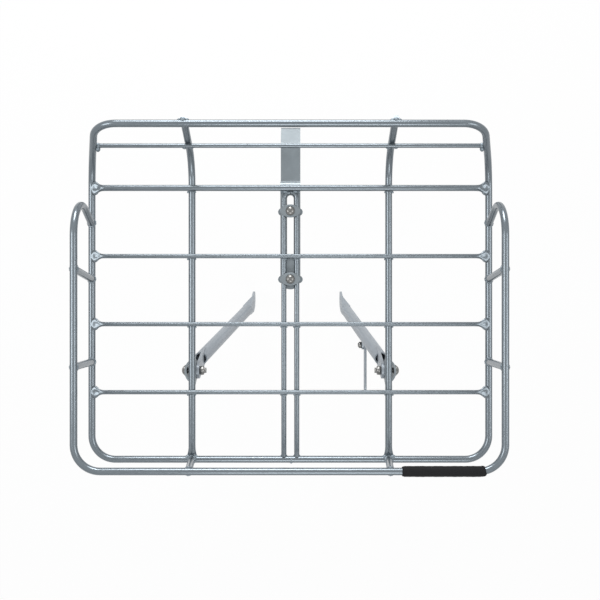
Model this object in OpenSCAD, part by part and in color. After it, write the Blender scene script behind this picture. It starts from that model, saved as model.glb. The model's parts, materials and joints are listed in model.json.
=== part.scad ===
// Folding bicycle front carrier. A platform of welded rods has a raised back and
// a gallery rail. A slotted strap under it bolts to the fork crown, and two hinged
// legs reach down to the front axle. Sizes are in millimetres.
//
// The origin is the centre of the bolt hole at the rear end of the strap.
// +X is the carrier's right, +Y is towards the rider and +Z is up.
// Inside place(), Y = 0 is the crossbar at the bend and Z = 0 is the plane that
// holds the centre lines of the side rails.

/* [Platform] */
// Width between the centre lines of the side rails
platform_w = 456; // [380:1:560]
// Depth from the front bar to the crossbar at the bend
platform_d = 310.8; // [250:0.1:380]
// Diameter of the rod of the main loop, the struts, the posts and the gallery rail
rod_d = 8; // [6.5:0.1:9.6]
// Radius of the main loop's front corners, on the centre line
front_corner_r = 27; // [20:1:40]
// Distance of each long strut from the middle
strut_x = 113; // [80:1:150]
// Diameter of the thin crossbars
thin_d = 5; // [4:0.1:6]
// Diameter of the thick crossbar at the bend
thick_d = 7; // [5:0.1:8.4]
// How deep a rod sinks into the one that it is welded on
weld_sink = 0.5; // [0.2:0.05:0.8]

/* [Raised back] */
// Angle between the platform and the raised back
back_angle = 65; // [54:1:78]
// Height of the top bar above the platform
back_h = 76.5; // [62:0.5:95]
// Distance from the bend crossbar to the corner where the back leaves the platform
fold_y = 23.6; // [22:0.1:30]
// Radius of the bend between platform and back
fold_r = 45; // [30:1:46]
// How much each side rail leans inwards at the top bar
back_lean_in = 21; // [0:1:35]
// Radius of the two corners of the top bar
top_corner_r = 29; // [18:1:36]
// Height of the crossbar on the raised back
back_bar_h = 37.6; // [32:0.1:45]

/* [Gallery] */
// Height of the gallery rail above the platform
gallery_h = 79.6; // [66:0.1:100]
// How far the gallery's front bar stands behind the platform's front bar
gallery_set_back = 2; // [0:0.5:5]
// Radius of the gallery rail's front corners
gallery_corner_r = 28; // [20:1:40]
// Distance from the bend crossbar forwards to the gallery rail's rear feet
gallery_foot_y = 40.5; // [30:0.5:60]
// Angle by which the gallery's rear ends lean back from their feet
hook_lean = 25; // [10:1:30]
// Radius of the bend at the gallery's rear ends
hook_r = 35; // [20:1:38]
// How far the front posts lean inwards at the top
front_post_lean = 6; // [0:0.5:10]
// Distance of the front side posts from the front bar
front_post_y = 112; // [80:1:125]
// Distance of the rear side posts from the front bar
rear_post_y = 207; // [180:1:220]
// How far the rear side posts lean back at the top
rear_post_lean = 9; // [0:1:16]
// Length of the rubber sleeve on the front of the gallery rail
sleeve_l = 88; // [60:1:120]
// Wall of the rubber sleeve
sleeve_wall = 2; // [1:0.1:3]

/* [Strap and clamps] */
// Distance between the centre lines of the two rods that carry the strap
hairpin_w = 14.8; // [13.8:0.1:18]
// Diameter of the two rods that carry the strap
hairpin_d = 6; // [5:0.1:7]
// Width of the strap
strap_w = 23; // [19:0.5:28]
// Thickness of the strap
strap_t = 3; // [2.4:0.1:4]
// Distance from the bend crossbar forwards to the front clamp
front_clamp_y = 104; // [98:0.5:112]
// Distance from the bend crossbar forwards to the rear clamp
rear_clamp_y = 26; // [22:0.5:36]
// Width of the slot in the strap
slot_w = 7.6; // [6.8:0.1:9]
// Length of the slot in the strap
slot_l = 72; // [60:1:76]
// How far the strap steps down behind the bend crossbar
step_h = 22; // [16:0.5:30]
// Length of the strap's low stretch behind the step
low_l = 47; // [35:1:60]
// How far the strap then runs back while it slopes down
slope_l = 23; // [18:0.5:32]
// How far it drops along that slope
slope_h = 19; // [14:0.5:24]
// Height of the strap's upright end
tail_h = 32; // [29:0.5:42]
// Bolt hole at the strap's rear end, for the fork crown
crown_hole_d = 6.5; // [5.5:0.1:8.5]

/* [Legs] */
// Distance from a leg's pivot bolt to its axle hole
leg_l = 352; // [290:1:425]
// Diameter of the leg tube
leg_d = 16; // [13.4:0.1:19.2]
// Wall of the leg tube and of its flattened ends
leg_wall = 1.6; // [1.2:0.1:2]
// Angle by which the legs lean back at rest
leg_lean = 13.7; // [5:0.1:25]
// Distance of the pivot bolts from the front bar
pivot_y = 101; // [90:1:120]
// Depth of the pivot bolts below the platform
pivot_drop = 14; // [12.5:0.1:17]
// Distance of the left leg's foot from the middle
left_foot_x = 61; // [50:1:90]
// Distance of the right leg's foot from the middle
right_foot_x = 75; // [50:1:90]
// Hole in each foot for the axle
axle_hole_d = 9.6; // [8:0.1:11]
// Distance down the right leg to the lamp bracket's screw
lamp_down = 156; // [120:1:200]
// Length of the lamp bracket, from hole to hole
lamp_l = 56; // [40:1:70]
// Hole in the lamp bracket for the lamp's bolt
lamp_hole_d = 5.4; // [4.4:0.1:6.6]

/* [Bolts] */
// Diameter of the clamp bolts and the pivot bolts
bolt_d = 6; // [5:0.1:6.6]
// Diameter of the lamp bracket's screw
screw_d = 5; // [4:0.1:6]
// Radial clearance round every bolt
bolt_clear = 0.05; // [0.03:0.01:0.1]
// Gap between faces that slide or clamp
slide_gap = 0.2; // [0.1:0.05:0.3]

/* [Hidden] */
$fn = 64;

steel = "silver";
zinc = "lightgray";
rod_r = rod_d / 2;
rail_x = platform_w / 2;
front_y = -platform_d;
thin_bars = 3;
bar_pitch = platform_d / (thin_bars + 1);
gallery_front_y = front_y + gallery_set_back;
left = -1;
right = 1;

// The raised back: the loop's rails, and the struts that pass behind its top bar
top_x = rail_x - back_lean_in;
top_y = fold_y + back_h / tan(back_angle);
strut_fold_y = fold_y + (rod_d - weld_sink) / sin(back_angle);
back_bar_y = strut_fold_y - (rod_r + thin_d / 2 - weld_sink) / sin(back_angle)
           + back_bar_h / tan(back_angle);
back_bar_x = rail_x - back_lean_in * back_bar_h / back_h;
strut_over = -3.5;

// A bend is a hair thicker than the straights that lap into it, so no surfaces coincide
hair = 0.004;
lap = 0.2;

// A post's ends lie this far inside the rods, from their centre lines
post_let_in = 0.375 * rod_r;

// Crossbar ends are pressed flat where they lie on the side rails
flat_t = 2.6;
flat_l = 15;
flat_w = 12;
flat_lift = 0.2;

// The hairpin rods lie level with the top of the struts, against the crossbars
hairpin_z = rod_r - hairpin_d / 2;
hairpin_end_y = -4;

// How far the ends of the struts and the hairpin rods stop behind the front bar's centre line
butt = 3;

// The strap hangs under the hairpin rods, held by the clamps
strap_z = hairpin_z - hairpin_d / 2 - slide_gap - strap_t / 2;
strap_bend_r = 5;
step_y = 8;
slot_end_y = 7;
low_z = strap_z - step_h;
tail_y = step_y + low_l + slope_l;
crown_z = low_z - slope_h - tail_h + strap_w / 2;
plate_t = 2.5;
plate_w = 25.5;
plate_l = 15;
plate_tip = 2;
base_w = 28.5;
base_l = 8.6;

// Hexagon and button-head sizes grow with the bolt
function head_d(d) = 1.75 * d;
function head_h(d) = 0.55 * d;
function nut_d(d) = 1.92 * d;
function nut_h(d) = 0.8 * d;
function socket_d(d) = 0.77 * d;
washer_d = 2.1 * bolt_d;
washer_t = 1.2;
bolt_over = 2.4;

// Leg lugs: pressed sheet loops under the struts
lug_l = 32;
lug_w = 13;
lug_wall = 2.5;
lug_top = 1;
lug_r = 1.7 * bolt_d;
lug_in = strut_x - rod_r;
pivot_r = bolt_d / 2 + bolt_clear;
leg_y = front_y + pivot_y;
tab_t = 2 * leg_wall;
tab_x = lug_in - slide_gap - tab_t / 2;
tab_w = 19;
foot_w = 24;
tube_top = 46;
tab_in = 17;
foot_run = 36;
foot_flat = 32;
plug = 5;
press_x = 0.38 * leg_d;
press_y = 0.42 * leg_d;
tube_out = 2.5;

// Lamp bracket: a strip beside an ear on the right leg
ear_w = 12;
ear_t = 3;
ear_sink = 0.5;
lamp_t = 3;
lamp_w = 14;
lamp_gap = 1;
screw_r = screw_d / 2 + bolt_clear;

function unit(v) = v / norm(v);
function across(d) = unit(cross(abs(d.z) < 0.9 ? [0, 0, 1] : [1, 0, 0], d));
function turn_at(p, i) = let (n = len(p))
    acos(unit(p[i] - p[(i + n - 1) % n]) * unit(p[(i + 1) % n] - p[i]));
function cut_at(p, r, i) = r[i] == 0 ? 0 : r[i] * tan(turn_at(p, i) / 2);

// Moves the platform so that the origin is the strap's bolt hole
module place() {
    translate([0, -tail_y, -crown_z]) children();
}

// Puts a shape's X, Y and Z along the directions u, v and w, at the point p
module frame_at(u, v, w, p) {
    multmatrix([[u.x, v.x, w.x, p.x], [u.y, v.y, w.y, p.y], [u.z, v.z, w.z, p.z]]) children();
}

// A straight stretch of a profile from a to b; the profile's Y lies along side
module stretch(a, b, side) {
    d = unit(b - a);
    frame_at(cross(side, d), side, d, a) linear_extrude(norm(b - a)) children();
}

// The round bend of a profile at the corner p, from direction d0 to d1
module bend(p, d0, d1, r) {
    turn = acos(d0 * d1);
    b = unit(cross(d0, d1));
    n = cross(b, d0);
    frame_at(-n, d0, b, p - d0 * r * tan(turn / 2) + n * r)
        rotate_extrude(angle = turn) translate([r, 0]) scale(1 + hair) children();
}

// A profile led through the points, with a bend of its own radius at each corner
module bent(p, r, closed = false, side = undef) {
    n = len(p);
    for (i = [0 : closed ? n - 1 : n - 2]) {
        j = (i + 1) % n;
        d = unit(p[j] - p[i]);
        a = p[i] + d * (cut_at(p, r, i) - (r[i] > 0 ? lap : 0));
        b = p[j] - d * (cut_at(p, r, j) - (r[j] > 0 ? lap : 0));
        if ((b - a) * d > 3 * lap) stretch(a, b, is_undef(side) ? across(d) : side) children();
    }
    for (i = [0 : n - 1])
        if (r[i] > 0) bend(p[i], unit(p[i] - p[(i + n - 1) % n]), unit(p[(i + 1) % n] - p[i]), r[i])
            children();
}

module rod(a, b, d = rod_d) {
    stretch(a, b, across(unit(b - a))) circle(d = d);
}

// A cylinder along X, centred on the point p
module hole_x(p, r, l) {
    translate(p) rotate([0, 90, 0]) cylinder(r = r, h = l, center = true);
}

module main_loop() {
    color(steel) place() bent([
        [left * rail_x, front_y, 0], [right * rail_x, front_y, 0],
        [right * rail_x, fold_y, 0], [right * top_x, top_y, back_h],
        [left * top_x, top_y, back_h], [left * rail_x, fold_y, 0]
    ], [front_corner_r, front_corner_r, fold_r, top_corner_r, top_corner_r, fold_r], closed = true)
        circle(d = rod_d);
}

module strut(side) {
    end_h = back_h + strut_over;
    color(steel) place() bent([
        [side * strut_x, front_y + butt, 0], [side * strut_x, strut_fold_y, 0],
        [side * strut_x, strut_fold_y + end_h / tan(back_angle), end_h]
    ], [0, fold_r, 0]) circle(d = rod_d);
}

// Two rods bent from one, closed just in front of the bend bar
module hairpin_rods() {
    x = hairpin_w / 2;
    turn_y = hairpin_end_y - x;
    color(steel) place() {
        translate([0, turn_y, hairpin_z]) rotate_extrude(angle = 180) translate([x, 0])
            scale(1 + hair) circle(d = hairpin_d);
        for (side = [left, right])
            rod([side * x, front_y + butt, hairpin_z], [side * x, turn_y + lap, hairpin_z], hairpin_d);
    }
}

// The flared, pressed end of a crossbar, pointing along +X
module pressed_end(d) {
    linear_extrude(flat_t) polygon([
        [0, -d / 2], [flat_l * 0.5, -d / 2], [flat_l * 0.75, -flat_w * 0.36], [flat_l, -flat_w / 2],
        [flat_l, flat_w / 2], [flat_l * 0.75, flat_w * 0.36], [flat_l * 0.5, d / 2], [0, d / 2]
    ]);
}

// A straight bar across the struts and the hairpin rods
module crossbar(y, d) {
    base = rod_r - weld_sink;
    reach = rail_x - flat_l / 2;
    color(steel) place() {
        rod([-reach, y, base + d / 2], [reach, y, base + d / 2], d);
        for (turn = [0, 180])
            translate([0, y, base + flat_lift]) rotate(turn)
                translate([rail_x - flat_l, 0, 0]) pressed_end(d);
    }
}

module back_crossbar() {
    reach = back_bar_x - rod_r + weld_sink;
    color(steel) place()
        rod([-reach, back_bar_y, back_bar_h], [reach, back_bar_y, back_bar_h], thin_d);
}

module gallery_rail() {
    foot = rod_r - weld_sink;
    foot_y = -gallery_foot_y;
    hook_y = foot_y + (gallery_h - foot) * tan(hook_lean);
    color(steel) place() bent([
        [left * rail_x, foot_y, foot], [left * rail_x, hook_y, gallery_h],
        [left * rail_x, gallery_front_y, gallery_h], [right * rail_x, gallery_front_y, gallery_h],
        [right * rail_x, hook_y, gallery_h], [right * rail_x, foot_y, foot]
    ], [0, hook_r, gallery_corner_r, gallery_corner_r, hook_r, 0]) circle(d = rod_d);
}

// A post between the main loop and the gallery rail, let into both
module post(x, y, lean_back = 0, lean_in = 0) {
    color(steel) place()
        rod([x, y, post_let_in], [x - sign(x) * lean_in, y + lean_back, gallery_h - post_let_in]);
}

// Soft grip sleeve, slid over the gallery's front bar into its right corner
module rubber_sleeve() {
    straight_end = rail_x - gallery_corner_r;
    into_corner = 14;
    arc = gallery_corner_r * into_corner * PI / 180;
    bar = [0, gallery_front_y, gallery_h];
    corner = [straight_end, gallery_front_y + gallery_corner_r, gallery_h];
    color([0.12, 0.12, 0.13]) place() {
        stretch(bar + [straight_end - sleeve_l + arc, 0, 0], bar + [straight_end + lap, 0, 0], [0, 0, 1])
            sleeve_ring();
        translate(corner) rotate(-90) rotate_extrude(angle = into_corner)
            translate([gallery_corner_r, 0]) scale(1 + hair) sleeve_ring();
    }
}

module sleeve_ring() {
    difference() {
        circle(r = rod_r + slide_gap / 2 + sleeve_wall);
        circle(r = rod_r + slide_gap / 2);
    }
}

// A button-head bolt: its head stands on Z = 0 and its shank runs down
module bolt(d, l) {
    cap_r = head_d(d) * 0.62;
    difference() {
        union() {
            translate([0, 0, -l]) cylinder(d = d, h = l + head_h(d) / 2);
            intersection() {
                cylinder(d = head_d(d), h = head_h(d));
                translate([0, 0, head_h(d) - cap_r]) sphere(cap_r);
            }
        }
        translate([0, 0, head_h(d) * 0.35]) cylinder(d = socket_d(d), h = head_h(d), $fn = 6);
    }
}

// A hexagon nut with its top face on Z = 0
module nut(d) {
    chamfer = nut_d(d) * 0.04;
    translate([0, 0, -nut_h(d)]) difference() {
        intersection() {
            cylinder(d = nut_d(d), h = nut_h(d), $fn = 6);
            union() {
                cylinder(d1 = nut_d(d) - 4 * chamfer, d2 = nut_d(d) + chamfer, h = nut_h(d) / 2);
                translate([0, 0, nut_h(d) / 2])
                    cylinder(d1 = nut_d(d) + chamfer, d2 = nut_d(d) - 4 * chamfer, h = nut_h(d) / 2);
            }
        }
        translate([0, 0, -1]) cylinder(r = d / 2 + bolt_clear, h = nut_h(d) + 2);
    }
}

// Lug of a leg: a D-shaped loop of sheet, let into the strut above it
module lug(side) {
    rim = (lug_l * lug_l / 4 + lug_w * lug_w) / (2 * lug_w);
    bottom = pivot_drop + lug_r;
    flank = lug_r * 0.97;
    color(steel) place() translate([side * lug_in, leg_y, 0]) mirror([side == left ? 1 : 0, 0, 0])
        difference() {
            intersection() {
                translate([0, 0, -bottom]) linear_extrude(bottom - lug_top) difference() {
                    d_outline(rim, 0);
                    d_outline(rim, lug_wall);
                }
                rotate([90, 0, 90]) linear_extrude(lug_w) union() {
                    translate([0, -pivot_drop]) circle(r = lug_r);
                    polygon([[-lug_l / 2, 0], [-flank, -pivot_drop], [flank, -pivot_drop], [lug_l / 2, 0]]);
                }
            }
            hole_x([0, 0, -pivot_drop], pivot_r, 4 * lug_w);
        }
}

module d_outline(rim, inset) {
    intersection() {
        translate([lug_w - rim, 0]) circle(r = rim - inset);
        translate([inset, -lug_l]) square([lug_w, 2 * lug_l]);
    }
}

// Puts a piece drawn round the pivot's axis at the left or right pivot bolt
module at_pivot(side) {
    place() translate([side * lug_in, leg_y, -pivot_drop]) mirror([side == left ? 1 : 0, 0, 0])
        rotate([0, 90, 0]) children();
}

module pivot_bolt(side) {
    grip = lug_w + washer_t + 2 * bolt_clear;
    inner = 3 * slide_gap + tab_t + nut_h(bolt_d) + bolt_over;
    color(zinc) at_pivot(side) translate([0, 0, grip]) bolt(bolt_d, grip + inner);
}

module pivot_washers() {
    color(zinc) for (side = [left, right])
        at_pivot(side) translate([0, 0, lug_w + bolt_clear]) difference() {
            cylinder(d = washer_d, h = washer_t);
            translate([0, 0, -1]) cylinder(r = pivot_r, h = washer_t + 2);
        }
}

module pivot_nut(side) {
    color(zinc) at_pivot(side) translate([0, 0, -2 * slide_gap - tab_t]) nut(bolt_d);
}

// Pressed stretch of a leg, from the round tube's end at top to the flat foot
module pressed_stretch(top, foot_x, foot_z) {
    thin = tab_t / 2 - hair * leg_d;
    wide = foot_w / 2 - hair * leg_d;
    intersection() {
        rotate([90, 0, 0]) linear_extrude(2 * foot_w, center = true) polygon([
            [top.x - press_x, top.z], [top.x + press_x, top.z], [foot_x + thin, foot_z], [foot_x - thin, foot_z]
        ]);
        rotate([90, 0, 90]) linear_extrude(4 * (leg_d - foot_x), center = true) polygon([
            [-press_y, top.z], [press_y, top.z], [wide, foot_z], [-wide, foot_z]
        ]);
    }
}

// A leg, drawn hanging straight down from its pivot; +X is away from the carrier's middle
module leg_shape(foot_in) {
    axis_top = [tube_out, 0, -tube_top];
    axis_foot = [-foot_in, 0, -leg_l + foot_flat];
    along = unit(axis_foot - axis_top);
    tube_end = axis_foot - along * foot_run;
    difference() {
        union() {
            // Top tab round the pivot bolt
            rotate([90, 0, 90]) translate([0, 0, -tab_t / 2]) linear_extrude(tab_t) union() {
                circle(d = tab_w);
                translate([-tab_w / 2, -tube_top - tab_in]) square([tab_w, tube_top + tab_in]);
            }
            difference() {
                rod(axis_top, tube_end, leg_d);
                rod(axis_top - along, tube_end - along * plug, leg_d - 2 * leg_wall);
            }
            pressed_stretch(tube_end - along * plug / 2, -foot_in, -leg_l + foot_flat - lap);
            // Flattened foot round the axle hole
            rotate([90, 0, 90]) translate([0, 0, -foot_in - tab_t / 2]) linear_extrude(tab_t) union() {
                translate([0, -leg_l]) circle(d = foot_w);
                translate([-foot_w / 2, -leg_l]) square([foot_w, foot_flat + lap]);
            }
        }
        hole_x([0, 0, 0], pivot_r, 2 * leg_d);
        hole_x([-foot_in, 0, -leg_l], axle_hole_d / 2, 2 * tab_t);
    }
}

// Puts a piece drawn with a leg at that leg's pivot, leaning back
module at_leg(side) {
    place() translate([side * tab_x, leg_y, -pivot_drop]) mirror([side == left ? 1 : 0, 0, 0])
        rotate([leg_lean, 0, 0]) children();
}

// The lamp bracket's screw, in the right leg's own frame
lamp_x = tube_out - (tube_out + tab_x - right_foot_x) * (lamp_down - tube_top) / (leg_l - tube_top - foot_flat);
lamp_out = lamp_w / 2 + lamp_gap;
lamp_at = [lamp_x, -leg_d / 2 - lamp_out, -lamp_down];

module left_leg() {
    color(steel) at_leg(left) leg_shape(tab_x - left_foot_x);
}

module right_leg() {
    color(steel) at_leg(right) union() {
        leg_shape(tab_x - right_foot_x);
        lamp_ear();
    }
}

// Ear on the front of the right leg for the lamp bracket
module lamp_ear() {
    difference() {
        translate(lamp_at) rotate([90, 0, 90]) translate([0, 0, -ear_t / 2]) linear_extrude(ear_t) union() {
            circle(d = ear_w);
            translate([0, -ear_w / 2]) square([lamp_out + ear_sink, ear_w]);
        }
        hole_x(lamp_at, screw_r, 2 * ear_t);
    }
}

// Puts a piece drawn level, round the lamp screw's axis, beside the ear
module at_lamp() {
    at_leg(right) translate(lamp_at) rotate([-leg_lean, 0, 0]) children();
}

module lamp_bracket() {
    color(steel) at_lamp() rotate([90, 0, 90]) translate([0, 0, ear_t / 2 + slide_gap])
        linear_extrude(lamp_t) difference() {
            union() {
                for (y = [0, -lamp_l]) translate([y, 0]) circle(d = lamp_w);
                translate([-lamp_l, -lamp_w / 2]) square([lamp_l, lamp_w]);
            }
            circle(r = screw_r);
            translate([-lamp_l, 0]) circle(d = lamp_hole_d);
        }
}

module lamp_screw() {
    grip = lamp_t + slide_gap;
    color(zinc) at_lamp() rotate([0, 90, 0]) translate([0, 0, ear_t / 2 + grip + slide_gap])
        bolt(screw_d, grip + 2 * slide_gap + ear_t + nut_h(screw_d) + 1);
}

module lamp_nut() {
    color(zinc) at_lamp() rotate([0, 90, 0]) translate([0, 0, -ear_t / 2 - bolt_clear]) nut(screw_d);
}

// Slotted strap: level under the rods, a step down, a low stretch, a slope and an upright end
module mounting_strap() {
    front_y_end = -front_clamp_y;
    color(steel) place() difference() {
        union() {
            bent([
                [0, front_y_end, strap_z], [0, step_y, strap_z], [0, step_y, low_z],
                [0, step_y + low_l, low_z], [0, tail_y, low_z - slope_h],
                [0, tail_y, low_z - slope_h - tail_h + strap_w / 2]
            ], [0, strap_bend_r, strap_bend_r, strap_bend_r, strap_bend_r, 0], side = [1, 0, 0])
                square([strap_t, strap_w], center = true);
            translate([0, front_y_end, strap_z - strap_t / 2]) cylinder(d = strap_w, h = strap_t);
            translate([0, tail_y + strap_t / 2, crown_z]) rotate([90, 0, 0]) cylinder(d = strap_w, h = strap_t);
        }
        translate([0, front_y_end, strap_z - strap_t]) cylinder(r = bolt_d / 2 + bolt_clear, h = 2 * strap_t);
        translate([0, 0, strap_z - strap_t]) linear_extrude(2 * strap_t) union() {
            for (y = [-slot_end_y - slot_w / 2, -slot_end_y - slot_l + slot_w / 2])
                translate([0, y]) circle(d = slot_w);
            translate([-slot_w / 2, -slot_end_y - slot_l + slot_w / 2]) square([slot_w, slot_l - slot_w]);
        }
        translate([0, tail_y + strap_t, crown_z]) rotate([90, 0, 0]) cylinder(d = crown_hole_d, h = 2 * strap_t);
    }
}

// Lens-shaped clamp plate on top of the hairpin rods
module clamp_plate(y) {
    rim = (plate_w * plate_w + plate_l * plate_l) / (4 * plate_l);
    color(steel) place() translate([0, -y, hairpin_z + hairpin_d / 2 + slide_gap])
        linear_extrude(plate_t) difference() {
            intersection() {
                intersection_for(s = [left, right]) translate([0, s * (rim - plate_l / 2)]) circle(r = rim);
                circle(d = plate_w - plate_tip);
            }
            circle(r = bolt_d / 2 + bolt_clear);
        }
}

// Straight clamp plate under the strap
module clamp_base(y) {
    color(steel) place() translate([0, -y, strap_z - strap_t / 2 - slide_gap - plate_t])
        linear_extrude(plate_t) difference() {
            union() {
                for (side = [left, right]) translate([side * (base_w - base_l) / 2, 0]) circle(d = base_l);
                square([base_w - base_l, base_l], center = true);
                circle(d = base_l + 4);
            }
            circle(r = bolt_d / 2 + bolt_clear);
        }
}

clamp_top = hairpin_z + hairpin_d / 2 + slide_gap + plate_t + bolt_clear;
clamp_bottom = strap_z - strap_t / 2 - slide_gap - plate_t - bolt_clear;

module clamp_bolt(y) {
    color(zinc) place() translate([0, -y, clamp_top])
        bolt(bolt_d, clamp_top - clamp_bottom + nut_h(bolt_d) + bolt_over);
}

module clamp_nut(y) {
    color(zinc) place() translate([0, -y, clamp_bottom]) nut(bolt_d);
}

main_loop();
strut(left);  // left_strut
strut(right);  // right_strut
hairpin_rods();
crossbar(-bar_pitch, thin_d);  // crossbar_1
crossbar(-2 * bar_pitch, thin_d);  // crossbar_2
crossbar(-3 * bar_pitch, thin_d);  // crossbar_3
crossbar(0, thick_d);  // bend_crossbar
back_crossbar();
gallery_rail();
post(left * strut_x, front_y, gallery_set_back, front_post_lean);  // left_front_post
post(left * rail_x, front_y + front_post_y);  // left_side_post_front
post(left * rail_x, front_y + rear_post_y, rear_post_lean);  // left_side_post_rear
post(right * strut_x, front_y, gallery_set_back, front_post_lean);  // right_front_post
post(right * rail_x, front_y + front_post_y);  // right_side_post_front
post(right * rail_x, front_y + rear_post_y, rear_post_lean);  // right_side_post_rear
rubber_sleeve();
lug(left);  // left_lug
lug(right);  // right_lug
pivot_bolt(left);  // left_pivot_bolt
pivot_bolt(right);  // right_pivot_bolt
pivot_washers();
pivot_nut(left);  // left_pivot_nut
pivot_nut(right);  // right_pivot_nut
left_leg();
right_leg();
mounting_strap();
clamp_plate(front_clamp_y);  // front_clamp_plate
clamp_plate(rear_clamp_y);  // rear_clamp_plate
clamp_base(front_clamp_y);  // front_clamp_base
clamp_base(rear_clamp_y);  // rear_clamp_base
clamp_bolt(front_clamp_y);  // front_clamp_bolt
clamp_bolt(rear_clamp_y);  // rear_clamp_bolt
clamp_nut(front_clamp_y);  // front_clamp_nut
clamp_nut(rear_clamp_y);  // rear_clamp_nut
lamp_bracket();
lamp_screw();
lamp_nut();
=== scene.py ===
"""Folding bicycle front carrier: silver rods, pressed plates, zinc bolts and a rubber sleeve.

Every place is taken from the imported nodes' boxes. Rods are paths swept by one Geometry Nodes
tree, weld beads are scattered by another, and the small pressed pieces are cleaned copies of
their own nodes.
"""

import json
import math

import bmesh
import bpy
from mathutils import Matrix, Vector


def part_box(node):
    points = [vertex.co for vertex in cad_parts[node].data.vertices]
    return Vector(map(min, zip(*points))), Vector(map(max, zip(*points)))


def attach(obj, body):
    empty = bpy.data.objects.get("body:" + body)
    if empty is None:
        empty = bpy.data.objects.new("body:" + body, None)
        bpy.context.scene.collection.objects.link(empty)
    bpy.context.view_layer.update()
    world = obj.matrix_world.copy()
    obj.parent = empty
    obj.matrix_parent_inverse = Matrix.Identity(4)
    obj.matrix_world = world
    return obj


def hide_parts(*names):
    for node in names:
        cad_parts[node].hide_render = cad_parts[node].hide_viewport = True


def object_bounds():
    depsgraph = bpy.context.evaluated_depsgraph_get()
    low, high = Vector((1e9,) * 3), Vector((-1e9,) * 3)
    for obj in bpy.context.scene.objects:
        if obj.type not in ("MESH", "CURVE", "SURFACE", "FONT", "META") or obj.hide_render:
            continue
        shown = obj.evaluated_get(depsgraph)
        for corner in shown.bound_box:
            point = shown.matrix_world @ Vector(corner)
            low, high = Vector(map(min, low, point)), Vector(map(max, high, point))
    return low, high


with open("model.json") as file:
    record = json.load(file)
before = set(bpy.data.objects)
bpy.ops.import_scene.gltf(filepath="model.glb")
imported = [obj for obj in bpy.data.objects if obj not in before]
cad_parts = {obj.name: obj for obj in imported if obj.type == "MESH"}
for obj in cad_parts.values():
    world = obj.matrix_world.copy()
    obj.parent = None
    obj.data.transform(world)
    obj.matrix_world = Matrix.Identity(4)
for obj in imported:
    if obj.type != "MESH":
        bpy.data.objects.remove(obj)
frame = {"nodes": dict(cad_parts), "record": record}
cad_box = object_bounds()

MM = 0.001
LEFT, RIGHT = -1, 1

# Sizes that the rods share, in metres
ROD = 8 * MM
ROD_R = ROD / 2
WELD_SINK = 0.5 * MM
FRONT_CORNER_R = 27 * MM
FOLD_R = 45 * MM
TOP_CORNER_R = 29 * MM
LEAN_IN = 21 * MM
BACK_ANGLE = math.radians(65)
FOLD_BEHIND_BEND = 23.6 * MM
GALLERY_CORNER_R = 28 * MM
HOOK_R = 35 * MM
HOOK_LEAN = math.radians(25)
SLEEVE_TURN = math.radians(14)
LEG_LEAN = math.radians(13.7)

# Places read from the frame
loop_low, loop_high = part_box("main_loop")
gallery_low, gallery_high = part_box("gallery_rail")
RAIL_X = loop_high.x - ROD_R
DECK_Z = loop_low.z + ROD_R
FRONT_Y = loop_low.y + ROD_R
TOP_Y = loop_high.y - ROD_R
TOP_Z = loop_high.z - ROD_R
TOP_X = RAIL_X - LEAN_IN
GALLERY_Z = gallery_high.z - ROD_R
GALLERY_FRONT_Y = gallery_low.y + ROD_R


def middle(node):
    low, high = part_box(node)
    return (low + high) / 2


BEND_Y = middle("bend_crossbar").y
FOLD_Y = BEND_Y + FOLD_BEHIND_BEND
STRUT_X = middle("right_strut").x
STRUT_FOLD_Y = FOLD_Y + (ROD - WELD_SINK) / math.sin(BACK_ANGLE)
BARS = ("crossbar_1", "crossbar_2", "crossbar_3", "bend_crossbar")


# ---------------------------------------------------------------- finishes

def finish(name, colour, metallic, roughness, grain=900.0, mottle=0.06, bump=0.04, coat=0.0, gloss=0.5):
    """A coated or plated surface: one colour that varies a little, with a fine uneven skin."""
    material = bpy.data.materials.new(name)
    material.use_nodes = True
    nodes, links = material.node_tree.nodes, material.node_tree.links
    surface = nodes["Principled BSDF"]
    surface.inputs["Metallic"].default_value = metallic
    surface.inputs["Specular IOR Level"].default_value = gloss
    surface.inputs["Coat Weight"].default_value = coat
    surface.inputs["Coat Roughness"].default_value = 0.12
    place = nodes.new("ShaderNodeTexCoord")

    patches = nodes.new("ShaderNodeTexNoise")
    patches.inputs["Scale"].default_value = grain / 12
    patches.inputs["Detail"].default_value = 4
    links.new(place.outputs["Object"], patches.inputs["Vector"])
    tone = nodes.new("ShaderNodeValToRGB")
    tone.color_ramp.elements[0].position = 0.3
    tone.color_ramp.elements[1].position = 0.7
    tone.color_ramp.elements[0].color = [c * (1 - mottle) for c in colour] + [1]
    tone.color_ramp.elements[1].color = [min(1, c * (1 + mottle)) for c in colour] + [1]
    links.new(patches.outputs["Fac"], tone.inputs["Fac"])
    links.new(tone.outputs["Color"], surface.inputs["Base Color"])

    sheen = nodes.new("ShaderNodeMapRange")
    sheen.inputs["To Min"].default_value = roughness * 0.85
    sheen.inputs["To Max"].default_value = roughness * 1.15
    links.new(patches.outputs["Fac"], sheen.inputs["Value"])
    links.new(sheen.outputs["Result"], surface.inputs["Roughness"])

    skin = nodes.new("ShaderNodeTexNoise")
    skin.inputs["Scale"].default_value = grain
    skin.inputs["Detail"].default_value = 2
    links.new(place.outputs["Object"], skin.inputs["Vector"])
    relief = nodes.new("ShaderNodeBump")
    relief.inputs["Strength"].default_value = bump
    relief.inputs["Distance"].default_value = 0.2 * MM
    links.new(skin.outputs["Fac"], relief.inputs["Height"])
    links.new(relief.outputs["Normal"], surface.inputs["Normal"])
    return material


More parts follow.
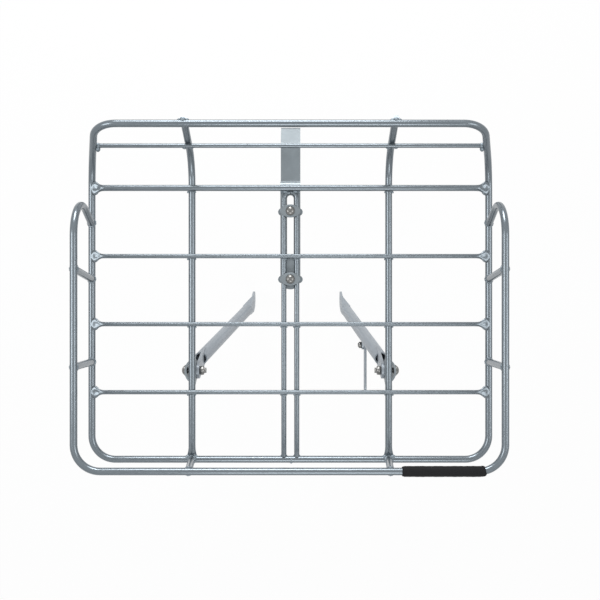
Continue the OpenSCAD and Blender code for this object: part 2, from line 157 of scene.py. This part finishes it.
# Rod coat: the silver paint, made darker than the plate coat as painted shade for the rods' dark flanks
ROD_COAT_WITH_PAINTED_SHADE = finish("Silver coat on rod, darkened as painted shade", (0.172, 0.200, 0.222), 0.68, 0.23, mottle=0.03, bump=0.004)
WELD_COAT = finish("Silver coat on weld", (0.21, 0.25, 0.28), 0.55, 0.36, grain=1500, bump=0.2)
PLATE_COAT = finish("Silver coat on plate", (0.235, 0.268, 0.288), 0.50, 0.36, bump=0.04)
LEG_COAT = finish("Satin coat on leg", (0.31, 0.345, 0.38), 0.45, 0.40, mottle=0.06, bump=0.04)
ZINC = finish("Bright zinc plate", (0.20, 0.20, 0.195), 0.85, 0.26, mottle=0.15, bump=0.04)
# Inside of a tube: a near-black that is painted shade for the hollow, not the metal's own colour
BORE_PAINTED_SHADE = finish("Painted shade inside tube", (0.09, 0.10, 0.11), 0.30, 0.60, mottle=0.2)
RUBBER = finish("Black rubber", (0.006, 0.006, 0.007), 0.0, 0.66, grain=700, mottle=0.15, bump=0.35,
                gloss=0.2)

SLOT_FINISH = {
    "rod_steel": ROD_COAT_WITH_PAINTED_SHADE,
    "plate_steel": PLATE_COAT,
    "leg_steel": LEG_COAT,
    "zinc_fasteners": ZINC,
    "sleeve_rubber": RUBBER,
}


# ---------------------------------------------------------------- makers

def keep(name, mesh, body, slot_name, *nodes):
    """Puts a finished mesh in the scene, on its body, in place of the nodes it stands for."""
    piece = bpy.data.objects.new(name, mesh)
    bpy.context.scene.collection.objects.link(piece)
    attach(piece, body)
    if nodes:
        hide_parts(*nodes)
    return piece


def new_tree(name, inputs):
    """An empty Geometry Nodes tree with named inputs, and helpers to add and join its nodes."""
    tree = bpy.data.node_groups.new(name, "GeometryNodeTree")
    tree.interface.new_socket("Geometry", in_out="INPUT", socket_type="NodeSocketGeometry")
    for label, kind in inputs:
        tree.interface.new_socket(label, in_out="INPUT", socket_type="NodeSocket" + kind)
    tree.interface.new_socket("Geometry", in_out="OUTPUT", socket_type="NodeSocketGeometry")
    return tree, tree.nodes.new("NodeGroupInput"), tree.nodes.new("NodeGroupOutput")


def finish_tree(tree, start, end, geometry, smooth=True):
    """Ends a tree: smooth faces, real instances and the material input."""
    link = tree.links.new
    shade = tree.nodes.new("GeometryNodeSetShadeSmooth")
    shade.inputs["Shade Smooth"].default_value = smooth
    real = tree.nodes.new("GeometryNodeRealizeInstances")
    paint = tree.nodes.new("GeometryNodeSetMaterial")
    link(geometry, real.inputs["Geometry"])
    link(real.outputs["Geometry"], shade.inputs["Geometry"])
    link(shade.outputs["Geometry"], paint.inputs["Geometry"])
    link(start.outputs["Finish"], paint.inputs["Material"])
    link(paint.outputs["Geometry"], end.inputs["Geometry"])


def make_rod_tree():
    """Sweeps a circle along a path; a ripple along its length makes a weld bead of it."""
    tree, start, end = new_tree("Rod along a path", [
        ("Radius", "Float"), ("Sides", "Int"), ("Ripple", "Float"), ("Ripple length", "Float"),
        ("Finish", "Material"),
    ])
    link, add = tree.links.new, tree.nodes.new
    along = add("GeometryNodeSplineParameter")
    share = add("ShaderNodeMath")
    share.operation = "DIVIDE"
    wave = add("ShaderNodeMath")
    wave.operation = "SINE"
    scale = add("ShaderNodeMath")
    scale.operation = "MULTIPLY_ADD"
    scale.inputs[2].default_value = 1
    turn = add("ShaderNodeMath")
    turn.operation = "MULTIPLY"
    turn.inputs[1].default_value = 2 * math.pi
    link(along.outputs["Length"], share.inputs[0])
    link(start.outputs["Ripple length"], share.inputs[1])
    link(share.outputs[0], turn.inputs[0])
    link(turn.outputs[0], wave.inputs[0])
    link(wave.outputs[0], scale.inputs[0])
    link(start.outputs["Ripple"], scale.inputs[1])
    circle = add("GeometryNodeCurvePrimitiveCircle")
    link(start.outputs["Sides"], circle.inputs["Resolution"])
    link(start.outputs["Radius"], circle.inputs["Radius"])
    sweep = add("GeometryNodeCurveToMesh")
    sweep.inputs["Fill Caps"].default_value = True
    link(start.outputs["Geometry"], sweep.inputs["Curve"])
    link(circle.outputs["Curve"], sweep.inputs["Profile Curve"])
    link(scale.outputs[0], sweep.inputs["Scale"])
    finish_tree(tree, start, end, sweep.outputs["Mesh"])
    return tree


def make_bead_tree():
    """Sets a lumpy bead on every point, laid along the point's own direction."""
    tree, start, end = new_tree("Beads on points", [
        ("Size", "Float"), ("Length", "Float"), ("Uneven", "Float"), ("Seed", "Int"), ("Finish", "Material"),
    ])
    link, add = tree.links.new, tree.nodes.new
    ball = add("GeometryNodeMeshUVSphere")
    ball.inputs["Segments"].default_value = 14
    ball.inputs["Rings"].default_value = 9
    link(start.outputs["Size"], ball.inputs["Radius"])
    lie = add("GeometryNodeInputNamedAttribute")
    lie.data_type = "FLOAT_VECTOR"
    lie.inputs["Name"].default_value = "lie"
    align = add("FunctionNodeAlignRotationToVector")
    align.axis = "X"
    link(lie.outputs["Attribute"], align.inputs["Vector"])
    low = add("ShaderNodeMath")
    low.operation = "SUBTRACT"
    low.inputs[0].default_value = 1
    high = add("ShaderNodeMath")
    high.operation = "ADD"
    high.inputs[0].default_value = 1
    link(start.outputs["Uneven"], low.inputs[1])
    link(start.outputs["Uneven"], high.inputs[1])
    vary = add("FunctionNodeRandomValue")
    vary.data_type = "FLOAT"
    link(low.outputs[0], vary.inputs[2])
    link(high.outputs[0], vary.inputs[3])
    link(start.outputs["Seed"], vary.inputs["Seed"])
    long = add("ShaderNodeMath")
    long.operation = "MULTIPLY"
    link(start.outputs["Length"], long.inputs[0])
    link(vary.outputs[1], long.inputs[1])
    scale = add("ShaderNodeCombineXYZ")
    link(long.outputs[0], scale.inputs["X"])
    link(vary.outputs[1], scale.inputs["Y"])
    link(vary.outputs[1], scale.inputs["Z"])
    place = add("GeometryNodeInstanceOnPoints")
    link(start.outputs["Geometry"], place.inputs["Points"])
    link(ball.outputs["Mesh"], place.inputs["Instance"])
    link(align.outputs["Rotation"], place.inputs["Rotation"])
    link(scale.outputs["Vector"], place.inputs["Scale"])
    finish_tree(tree, start, end, place.outputs["Instances"])
    return tree


ROD_TREE = make_rod_tree()
BEAD_TREE = make_bead_tree()


def grown(source, tree, values):
    """Runs a tree on an object and returns the plain mesh that comes out."""
    bpy.context.scene.collection.objects.link(source)
    grow = source.modifiers.new(tree.name, "NODES")
    grow.node_group = tree
    for item in tree.interface.items_tree:
        if item.in_out == "INPUT" and item.name in values:
            grow[item.identifier] = values[item.name]
    source.update_tag()
    shown = source.evaluated_get(bpy.context.evaluated_depsgraph_get())
    mesh = bpy.data.meshes.new_from_object(shown)
    source.modifiers.remove(grow)
    bpy.data.objects.remove(source)
    return mesh


def rounded(corners, radii, closed=False):
    """The points of a path whose corners are arcs of the radii given."""
    points = []
    count = len(corners)
    for i, corner in enumerate(corners):
        if not radii[i]:
            points.append(corner)
            continue
        arrive = (corner - corners[i - 1]).normalized()
        leave = (corners[(i + 1) % count] - corner).normalized()
        turn = arrive.angle(leave)
        inward = (leave - arrive * arrive.dot(leave)).normalized()
        first = corner - arrive * radii[i] * math.tan(turn / 2)
        steps = max(4, round(turn / math.radians(6)))
        for k in range(steps + 1):
            a = turn * k / steps
            points.append(first + arrive * radii[i] * math.sin(a) + inward * radii[i] * (1 - math.cos(a)))
    return points


def swept(name, points, radius, body, slot_name="rod_steel", nodes=(), coat=None,
          sides=28, closed=False, ripple=0.0, ripple_length=1.0 * MM):
    """A rod, bead or thread along a path."""
    path = bpy.data.curves.new(name + "_path", "CURVE")
    path.dimensions = "3D"
    line = path.splines.new("POLY")
    line.points.add(len(points) - 1)
    for spot, point in zip(line.points, points):
        spot.co = (*point, 1)
    line.use_cyclic_u = closed
    mesh = grown(bpy.data.objects.new(name + "_path", path), ROD_TREE, {
        "Radius": radius, "Sides": sides, "Ripple": ripple, "Ripple length": ripple_length,
        "Finish": coat or SLOT_FINISH[slot_name],
    })
    return keep(name, mesh, body, slot_name, *nodes)


def beads(name, places, size, length, body, coat=WELD_COAT, uneven=0.15, seed=1):
    """Weld beads at the (point, direction) pairs given."""
    mesh = bpy.data.meshes.new(name + "_points")
    mesh.from_pydata([point for point, _ in places], [], [])
    lie = mesh.attributes.new("lie", "FLOAT_VECTOR", "POINT")
    for item, (_, direction) in zip(lie.data, places):
        item.vector = direction
    mesh = grown(bpy.data.objects.new(name + "_points", mesh), BEAD_TREE, {
        "Size": size, "Length": length, "Uneven": uneven, "Seed": seed, "Finish": coat,
    })
    return keep(name, mesh, body, "rod_steel")


def loft(name, rings, body, slot_name, nodes=(), coat=None, capped=(True, True), smooth_angle=50):
    """A skin over rings of points, each ring the same length."""
    mesh = bpy.data.meshes.new(name)
    count = len(rings[0])
    points = [point for ring in rings for point in ring]
    faces = []
    for r in range(len(rings) - 1):
        for k in range(count):
            n = (k + 1) % count
            faces.append((r * count + k, r * count + n, (r + 1) * count + n, (r + 1) * count + k))
    if capped[0]:
        faces.append(tuple(reversed(range(count))))
    if capped[1]:
        faces.append(tuple(range((len(rings) - 1) * count, len(rings) * count)))
    mesh.from_pydata(points, [], faces)
    tidy_normals(mesh)
    mesh.shade_smooth()
    mesh.set_sharp_from_angle(angle=math.radians(smooth_angle))
    mesh.materials.append(coat or SLOT_FINISH[slot_name])
    return keep(name, mesh, body, slot_name, *nodes)


def tidy_normals(mesh):
    work = bmesh.new()
    work.from_mesh(mesh)
    bmesh.ops.remove_doubles(work, verts=work.verts, dist=0.001 * MM)
    bmesh.ops.recalc_face_normals(work, faces=work.faces)
    work.to_mesh(mesh)
    work.free()


def polished(node, body, slot_name, bevel=0.3 * MM, coat=None):
    """A cleaned copy of a node, with its flat faces joined and its edges broken."""
    source = frame["nodes"][node]
    mesh = source.data.copy()
    work = bmesh.new()
    work.from_mesh(mesh)
    bmesh.ops.remove_doubles(work, verts=work.verts, dist=0.002 * MM)
    bmesh.ops.dissolve_limit(work, angle_limit=math.radians(0.5), verts=work.verts, edges=work.edges)
    work.to_mesh(mesh)
    work.free()
    mesh.materials.clear()
    mesh.materials.append(coat or SLOT_FINISH[slot_name])
    piece = keep(node + "_finished", mesh, body, slot_name, node)
    if bevel:
        edge = piece.modifiers.new("Broken edges", "BEVEL")
        edge.width = bevel
        edge.segments = 2
        edge.limit_method = "ANGLE"
        edge.angle_limit = math.radians(40)
    mesh.shade_smooth()
    mesh.set_sharp_from_angle(angle=math.radians(38))
    return piece


# ---------------------------------------------------------------- welded frame

def make_main_loop():
    corners = [Vector(p) for p in (
        (-RAIL_X, FRONT_Y, DECK_Z), (RAIL_X, FRONT_Y, DECK_Z), (RAIL_X, FOLD_Y, DECK_Z),
        (TOP_X, TOP_Y, TOP_Z), (-TOP_X, TOP_Y, TOP_Z), (-RAIL_X, FOLD_Y, DECK_Z),
    )]
    radii = (FRONT_CORNER_R, FRONT_CORNER_R, FOLD_R, TOP_CORNER_R, TOP_CORNER_R, FOLD_R)
    swept("main_loop_rod", rounded(corners, radii), ROD_R, "frame", nodes=["main_loop"], closed=True)


def make_gallery_rail():
    foot_y = BEND_Y - 40.5 * MM
    foot_z = gallery_low.z
    hook_y = foot_y + (GALLERY_Z - foot_z) * math.tan(HOOK_LEAN)
    corners = [Vector(p) for p in (
        (-RAIL_X, foot_y, foot_z), (-RAIL_X, hook_y, GALLERY_Z), (-RAIL_X, GALLERY_FRONT_Y, GALLERY_Z),
        (RAIL_X, GALLERY_FRONT_Y, GALLERY_Z), (RAIL_X, hook_y, GALLERY_Z), (RAIL_X, foot_y, foot_z),
    )]
    radii = (0, HOOK_R, GALLERY_CORNER_R, GALLERY_CORNER_R, HOOK_R, 0)
    swept("gallery_rail_rod", rounded(corners, radii), ROD_R, "frame", nodes=["gallery_rail"])


def make_struts():
    """Each strut's rod, with a pressed and flared front end laid against the front bar."""
    start_y = FRONT_Y + 16 * MM
    for side, node in ((LEFT, "left_strut"), (RIGHT, "right_strut")):
        x = side * STRUT_X
        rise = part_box(node)[1].z - DECK_Z - ROD_R * math.cos(BACK_ANGLE)
        corners = [
            Vector((x, start_y - 0.5 * MM, DECK_Z)), Vector((x, STRUT_FOLD_Y, DECK_Z)),
            Vector((x, STRUT_FOLD_Y + rise / math.tan(BACK_ANGLE), DECK_Z + rise)),
        ]
        swept(node + "_rod", rounded(corners, (0, FOLD_R, 0)), ROD_R, "frame", nodes=[node])
        rings = []
        for run, half_w, half_h, lift in (
            (0, 4.0, 4.0, 0), (3, 4.05, 3.95, 0), (6, 4.4, 3.7, 0.2), (8.6, 4.9, 3.2, 0.4),
            (9.4, 5.1, 2.5, 0.2), (10.2, 5.3, 2.1, 0), (12.5, 6.0, 2.0, 0), (15, 6.4, 2.1, 0.1),
        ):
            rings.append(oval((x, start_y - run * MM, DECK_Z + lift * MM), (1, 0, 0), (0, 0, 1),
                              half_w * MM, half_h * MM))
        loft(node + "_pressed_end", rings, "frame", "rod_steel")


def oval(centre, across, up, half_w, half_h, count=28, power=1.0, dent=0.0):
    """A ring of points: an oval, squarer with a lower power, with its top pressed in by dent."""
    ring = []
    c, u, v = Vector(centre), Vector(across), Vector(up)
    for k in range(count):
        a = 2 * math.pi * k / count
        w = math.copysign(abs(math.cos(a)) ** power, math.cos(a))
        h = math.copysign(abs(math.sin(a)) ** power, math.sin(a))
        sunk = dent * math.exp(-6 * w * w) if h > 0 else 0
        ring.append(c + u * half_w * w + v * (half_h * h - sunk))
    return ring


def make_hairpin_rods():
    low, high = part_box("hairpin_rods")
    r = (high.z - low.z) / 2
    x = high.x - r
    z = (low.z + high.z) / 2
    corners = [Vector(p) for p in (
        (-x, low.y, z), (-x, high.y - r, z), (x, high.y - r, z), (x, low.y, z),
    )]
    swept("hairpin_rod", rounded(corners, (0, x * 0.999, x * 0.999, 0)), r, "frame", nodes=["hairpin_rods"])
    beads("hairpin_end_welds", [
        (Vector((side * x * 0.75, high.y - 1.5 * MM, z + 1.5 * MM)), Vector((1, -side * 0.8, 0)))
        for side in (LEFT, RIGHT)
    ] + [
        (Vector((side * x, low.y + 0.5 * MM, z - 1 * MM)), Vector((1, 0, 0))) for side in (LEFT, RIGHT)
    ], 2.6 * MM, 1.5, "frame", seed=3)


def make_crossbars():
    """Straight bars whose ends are pressed flat, flared and laid on the side rails."""
    for node in BARS:
        low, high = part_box(node)
        d = high.z - low.z
        y = (low.y + high.y) / 2
        z = (low.z + high.z) / 2
        stations = []
        for back, half_w, half_h, lift, dent in (
            (17, 0.5, 0.5, 0, 0), (13.5, 0.52, 0.49, 0, 0.02), (11.5, 0.60, 0.44, -0.03, 0.05),
            (9.5, 0.80, 0.38, -0.08, 0.14), (7.5, 1.10, 0.34, -0.12, 0.18), (5.8, 1.36, 0.31, -0.15, 0.18),
            (4.4, 1.44, 0.28, -0.18, 0.14), (3.0, 1.28, 0.26, -0.20, 0.10), (1.6, 0.98, 0.22, -0.22, 0.06),
            (0.4, 0.62, 0.16, -0.25, 0.02),
        ):
            spread = 5 * MM if half_w > 0.5 else d
            stations.append((RAIL_X - back * MM, d / 2 + (half_w - 0.5) * spread, half_h * d, lift * d, dent * d))
        rings = []
        for side, order in ((LEFT, reversed(stations)), (RIGHT, stations)):
            for x, half_w, half_h, lift, dent in order:
                rings.append(oval((side * x, y, z + lift), (0, 1, 0), (0, 0, 1), half_w, half_h, dent=dent))
        loft(node + "_rod", rings, "frame", "rod_steel", nodes=[node], smooth_angle=60)


def make_back_crossbar():
    low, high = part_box("back_crossbar")
    r = (high.z - low.z) / 2
    y, z = (low.y + high.y) / 2, (low.z + high.z) / 2
    swept("back_crossbar_rod", [Vector((low.x, y, z)), Vector((high.x, y, z))], r, "frame",
          nodes=["back_crossbar"])
    places = []
    for side in (LEFT, RIGHT):
        places.append((Vector((side * (high.x - 2.2 * MM), y, z + 0.8 * MM)), Vector((0, 1, 0))))
        places.append((Vector((side * (high.x - 1.5 * MM), y - 3.2 * MM, z - 1.5 * MM)), Vector((0, 1, 0.5))))
        places.append((Vector((side * (STRUT_X - 4.0 * MM), y - 1 * MM, z - 1.5 * MM)), Vector((1, 0.4, 0))))
        places.append((Vector((side * (STRUT_X + 4.0 * MM), y - 1 * MM, z - 1.5 * MM)), Vector((1, -0.4, 0))))
    beads("back_bar_welds", places, 2.5 * MM, 1.25, "frame", seed=5)


def saddle(centre, rail, post_r, rail_r, facing):
    """The closed line where a post of post_r meets a rod that runs along rail; facing is up or down."""
    side = Vector((0, 0, 1)).cross(rail)
    points = []
    for k in range(36):
        a = 2 * math.pi * k / 36
        u = post_r * math.sin(a)
        height = math.sqrt(max(0.0, rail_r * rail_r - min(u * u, rail_r * rail_r * 0.9)))
        points.append(centre + rail * post_r * math.cos(a) + side * u + Vector((0, 0, facing * height)))
    return points


def make_posts():
    rail_along = {"front_post": Vector((1, 0, 0))}
    for side in ("left", "right"):
        for kind in ("front_post", "side_post_front", "side_post_rear"):
            node = f"{side}_{kind}"
            low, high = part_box(node)
            outer, inner = (low.x + ROD_R, high.x - ROD_R) if side == "left" else (high.x - ROD_R, low.x + ROD_R)
            foot = Vector((outer, low.y + ROD_R, low.z))
            head = Vector((inner, high.y - ROD_R, high.z))
            swept(node + "_rod", [foot, head], ROD_R, "frame", nodes=[node])
            along = rail_along.get(kind, Vector((0, 1, 0)))
            for end, z, facing in ((foot, DECK_Z, 1), (head, GALLERY_Z, -1)):
                ring = saddle(Vector((end.x, end.y, z)), along, 4.1 * MM, 4.0 * MM, facing)
                swept(f"{node}_weld_{'foot' if facing > 0 else 'head'}", ring, 1.15 * MM, "frame",
                      coat=WELD_COAT, sides=12, closed=True, ripple=0.16, ripple_length=2.1 * MM)
    for side, name in ((LEFT, "left"), (RIGHT, "right")):
        foot_y = BEND_Y - 40.5 * MM
        ring = saddle(Vector((side * RAIL_X, foot_y + 1.2 * MM, DECK_Z)), Vector((0, 1, 0)), 4.2 * MM, 4.0 * MM, 1)
        swept(f"gallery_foot_weld_{name}", ring, 1.2 * MM, "frame", coat=WELD_COAT, sides=12,
              closed=True, ripple=0.16, ripple_length=2.3 * MM)


def make_crossing_welds():
    """Beads in the corners where bars lie on the struts, the hairpin rods and the side rails."""
    hair_low, hair_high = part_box("hairpin_rods")
    hairpin_x = hair_high.x - 3 * MM
    places = []
    ends = []
    for node in BARS:
        low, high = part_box(node)
        d = high.z - low.z
        y = (low.y + high.y) / 2
        edge = y - d / 2
        z = DECK_Z + ROD_R - 1.2 * MM
        for side in (LEFT, RIGHT):
            for off in (-3.6 * MM, 3.6 * MM):
                places.append((Vector((side * STRUT_X + off, edge - 0.2 * MM, z)),
                               Vector((1, -math.copysign(0.9, off), 0))))
            ends.append((Vector((side * (RAIL_X - 6.0 * MM), y - d / 2 - 1.9 * MM, z + 0.2 * MM)),
                         Vector((1, -side * 0.9, 0))))
            ends.append((Vector((side * (RAIL_X - 6.0 * MM), y + d / 2 + 1.9 * MM, z + 0.2 * MM)),
                         Vector((1, side * 0.9, 0))))
            for off in (-2.4 * MM, 2.4 * MM):
                places.append((Vector((side * hairpin_x + off, edge - 0.1 * MM, z + 0.6 * MM)),
                               Vector((1, -math.copysign(0.8, off), 0))))
    beads("crossing_welds", places, 1.25 * MM, 1.7, "frame", seed=7)
    beads("bar_end_welds", ends, 1.7 * MM, 1.9, "frame", seed=11)


def make_front_bar_welds():
    places = []
    for side in (LEFT, RIGHT):
        for off in (-5.2 * MM, 5.2 * MM):
            places.append((Vector((side * STRUT_X + off, FRONT_Y + 3.0 * MM, DECK_Z + 1.2 * MM)),
                           Vector((1, -math.copysign(0.7, off), 0))))
    places.append((Vector((1 * MM, FRONT_Y, DECK_Z + 2.1 * MM)), Vector((0, 1, 0))))
    places.append((Vector((1 * MM, FRONT_Y - 2.2 * MM, DECK_Z + 1.0 * MM)), Vector((0, 1, -0.6))))
    beads("front_bar_welds", places, 2.2 * MM, 1.4, "frame", seed=13)
    tops = []
    for side in (LEFT, RIGHT):
        for off in (-3.5 * MM, 3.5 * MM):
            tops.append((Vector((side * STRUT_X + off, TOP_Y + 3.6 * MM, TOP_Z - 0.8 * MM)),
                         Vector((1, 0, 0))))
        tops.append((Vector((side * STRUT_X, TOP_Y + 4.2 * MM, TOP_Z + 1.8 * MM)), Vector((1, 0, 0))))
    beads("top_bar_welds", tops, 2.2 * MM, 1.5, "frame", seed=17)


def make_sleeve():
    """Soft sleeve with rolled ends and a lapped seam along its rear side."""
    low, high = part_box("rubber_sleeve")
    r = (high.z - low.z) / 2
    straight_end = RAIL_X - GALLERY_CORNER_R
    points = [Vector((low.x, GALLERY_FRONT_Y, GALLERY_Z))]
    steps = 40
    for k in range(1, steps + 1):
        points.append(Vector((low.x + (straight_end - low.x) * k / steps, GALLERY_FRONT_Y, GALLERY_Z)))
    for k in range(1, 7):
        a = SLEEVE_TURN * k / 6
        points.append(Vector((straight_end + GALLERY_CORNER_R * math.sin(a),
                              GALLERY_FRONT_Y + GALLERY_CORNER_R * (1 - math.cos(a)), GALLERY_Z)))
    rings = []
    count = len(points)
    for i, point in enumerate(points):
        ahead = points[min(i + 1, count - 1)] - points[max(i - 1, 0)]
        ahead.normalize()
        across = Vector((0, 0, 1)).cross(ahead)
        lip = min(i, count - 1 - i)
        swell = 1 - 0.16 * math.exp(-lip / 0.7) + 0.012 * math.sin(i * 1.9) + 0.010 * math.sin(i * 0.7 + 1)
        ring = []
        for k in range(36):
            a = 2 * math.pi * k / 36
            seam = 0.10 * math.exp(-((a - 0.35) / 0.22) ** 2)
            grow = r * min(1.0, (swell + seam) * 0.93)
            ring.append(point + across * grow * math.cos(a) + Vector((0, 0, grow * math.sin(a))))
        rings.append(ring)
    loft("rubber_sleeve_skin", rings, "frame", "sleeve_rubber", nodes=["rubber_sleeve"], smooth_angle=70)


# ---------------------------------------------------------------- legs, strap and fasteners

def make_small_pieces():
    """Pressed and turned pieces: their own nodes, cleaned, with broken edges."""
    record = frame["record"]
    slots = {entry["node"]: entry["material_slot"] for entry in record["subparts"]}
    replaced = {"rubber_sleeve", "hairpin_rods", "main_loop", "gallery_rail", "back_crossbar", *BARS}
    for body, nodes in record["behaviour"]["bodies"].items():
        for node in nodes:
            if node in replaced or node.endswith("_strut") or "_post" in node:
                continue
            flat = slots[node] in ("plate_steel", "leg_steel")
            polished(node, body, slots[node], bevel=0.45 * MM if flat else 0.2 * MM)


def make_threads():
    """A fine ridge wound round each bolt's free end."""
    for node, body, axis, sign in (
        ("left_pivot_bolt", "frame", 0, 1), ("right_pivot_bolt", "frame", 0, -1),
        ("front_clamp_bolt", "strap", 2, -1), ("rear_clamp_bolt", "rear_clamp", 2, -1),
    ):
        low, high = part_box(node)
        centre = (low + high) / 2
        tip = (high if sign > 0 else low)[axis]
        r, pitch = 2.92 * MM, 1.0 * MM
        points = []
        for k in range(2 * 12 + 5):
            a = 2 * math.pi * k / 12
            run = tip - sign * (0.35 * MM + pitch * k / 12)
            if axis == 0:
                points.append(Vector((run, centre.y + r * math.cos(a), centre.z + r * math.sin(a))))
            else:
                points.append(Vector((centre.x + r * math.cos(a), centre.y + r * math.sin(a), run)))
        swept(node + "_thread", points, 0.3 * MM, body, "zinc_fasteners", sides=6)


make_main_loop()
make_gallery_rail()
make_struts()
make_hairpin_rods()
make_crossbars()
make_back_crossbar()
make_posts()
make_crossing_welds()
make_front_bar_welds()
make_sleeve()
make_small_pieces()
make_threads()


# ---------------------------------------------------------------- studio

def make_studio():
    """White floor and surroundings, soft lamps overhead and a camera that looks straight down."""
    low, high = cad_box
    centre = Vector(((low.x + high.x) / 2, (low.y + high.y) / 2, 0))

    floor_mesh = bpy.data.meshes.new("floor")
    reach = 4.0
    floor_z = low.z - 1 * MM
    floor_mesh.from_pydata([(-reach, -reach, floor_z), (reach, -reach, floor_z),
                            (reach, reach, floor_z), (-reach, reach, floor_z)], [], [(0, 1, 2, 3)])
    floor = bpy.data.objects.new("floor", floor_mesh)
    bpy.context.scene.collection.objects.link(floor)
    paper = bpy.data.materials.new("White paper")
    paper.use_nodes = True
    nodes, links = paper.node_tree.nodes, paper.node_tree.links
    matt = nodes["Principled BSDF"]
    matt.inputs["Base Color"].default_value = (0.9, 0.9, 0.9, 1)
    matt.inputs["Roughness"].default_value = 0.9
    glow = nodes.new("ShaderNodeEmission")
    glow.inputs["Color"].default_value = (1, 1, 1, 1)
    mix = nodes.new("ShaderNodeMixShader")
    links.new(seen_directly(nodes, links, 0.94), mix.inputs["Fac"])
    links.new(matt.outputs["BSDF"], mix.inputs[1])
    links.new(glow.outputs["Emission"], mix.inputs[2])
    links.new(mix.outputs["Shader"], nodes["Material Output"].inputs["Surface"])
    floor_mesh.materials.append(paper)

    world = bpy.data.worlds.new("Studio")
    bpy.context.scene.world = world
    world.use_nodes = True
    nodes, links = world.node_tree.nodes, world.node_tree.links
    around = nodes["Background"]
    around.inputs["Color"].default_value = (0.93, 0.96, 1, 1)
    around.inputs["Strength"].default_value = 0.25
    white = nodes.new("ShaderNodeBackground")
    white.inputs["Color"].default_value = (1, 1, 1, 1)
    white.inputs["Strength"].default_value = 1
    mix = nodes.new("ShaderNodeMixShader")
    links.new(seen_directly(nodes, links, 1.0), mix.inputs["Fac"])
    links.new(around.outputs["Background"], mix.inputs[1])
    links.new(white.outputs["Background"], mix.inputs[2])
    links.new(mix.outputs["Shader"], nodes["World Output"].inputs["Surface"])

    lamp("rear", centre + Vector((-0.10, 1.40, 0.60)), centre, 0.8, 18)
    lamp("front", centre + Vector((0.10, -1.15, 1.35)), centre, 0.8, 7)
    lamp("left", centre + Vector((-1.15, 0.05, 1.25)), centre, 0.7, 7)
    lamp("right", centre + Vector((1.15, -0.05, 1.25)), centre, 0.7, 5)

    camera = bpy.data.objects.new("camera", bpy.data.cameras.new("camera"))
    camera.data.lens = 51
    camera.data.sensor_width = 36
    camera.location = (0.0111, -0.2058, 1.0422)
    bpy.context.scene.collection.objects.link(camera)
    bpy.context.scene.camera = camera
    bpy.context.scene.view_settings.view_transform = "Standard"


def seen_directly(nodes, links, share):
    """The share of white shown to the camera, to reflections and through clear things."""
    path = nodes.new("ShaderNodeLightPath")
    either = nodes.new("ShaderNodeMath")
    either.operation = "MAXIMUM"
    links.new(path.outputs["Is Camera Ray"], either.inputs[0])
    links.new(path.outputs["Is Glossy Ray"], either.inputs[1])
    any_of = nodes.new("ShaderNodeMath")
    any_of.operation = "MAXIMUM"
    links.new(either.outputs[0], any_of.inputs[0])
    links.new(path.outputs["Is Transmission Ray"], any_of.inputs[1])
    part = nodes.new("ShaderNodeMath")
    part.operation = "MULTIPLY"
    part.inputs[1].default_value = share
    links.new(any_of.outputs[0], part.inputs[0])
    return part.outputs[0]


def lamp(name, place, target, size, power):
    light = bpy.data.lights.new(name, "AREA")
    light.shape = "SQUARE"
    light.size = size
    light.energy = power
    holder = bpy.data.objects.new(name, light)
    holder.location = place
    holder.rotation_euler = (target - place).to_track_quat("-Z", "Y").to_euler()
    bpy.context.scene.collection.objects.link(holder)


make_studio()
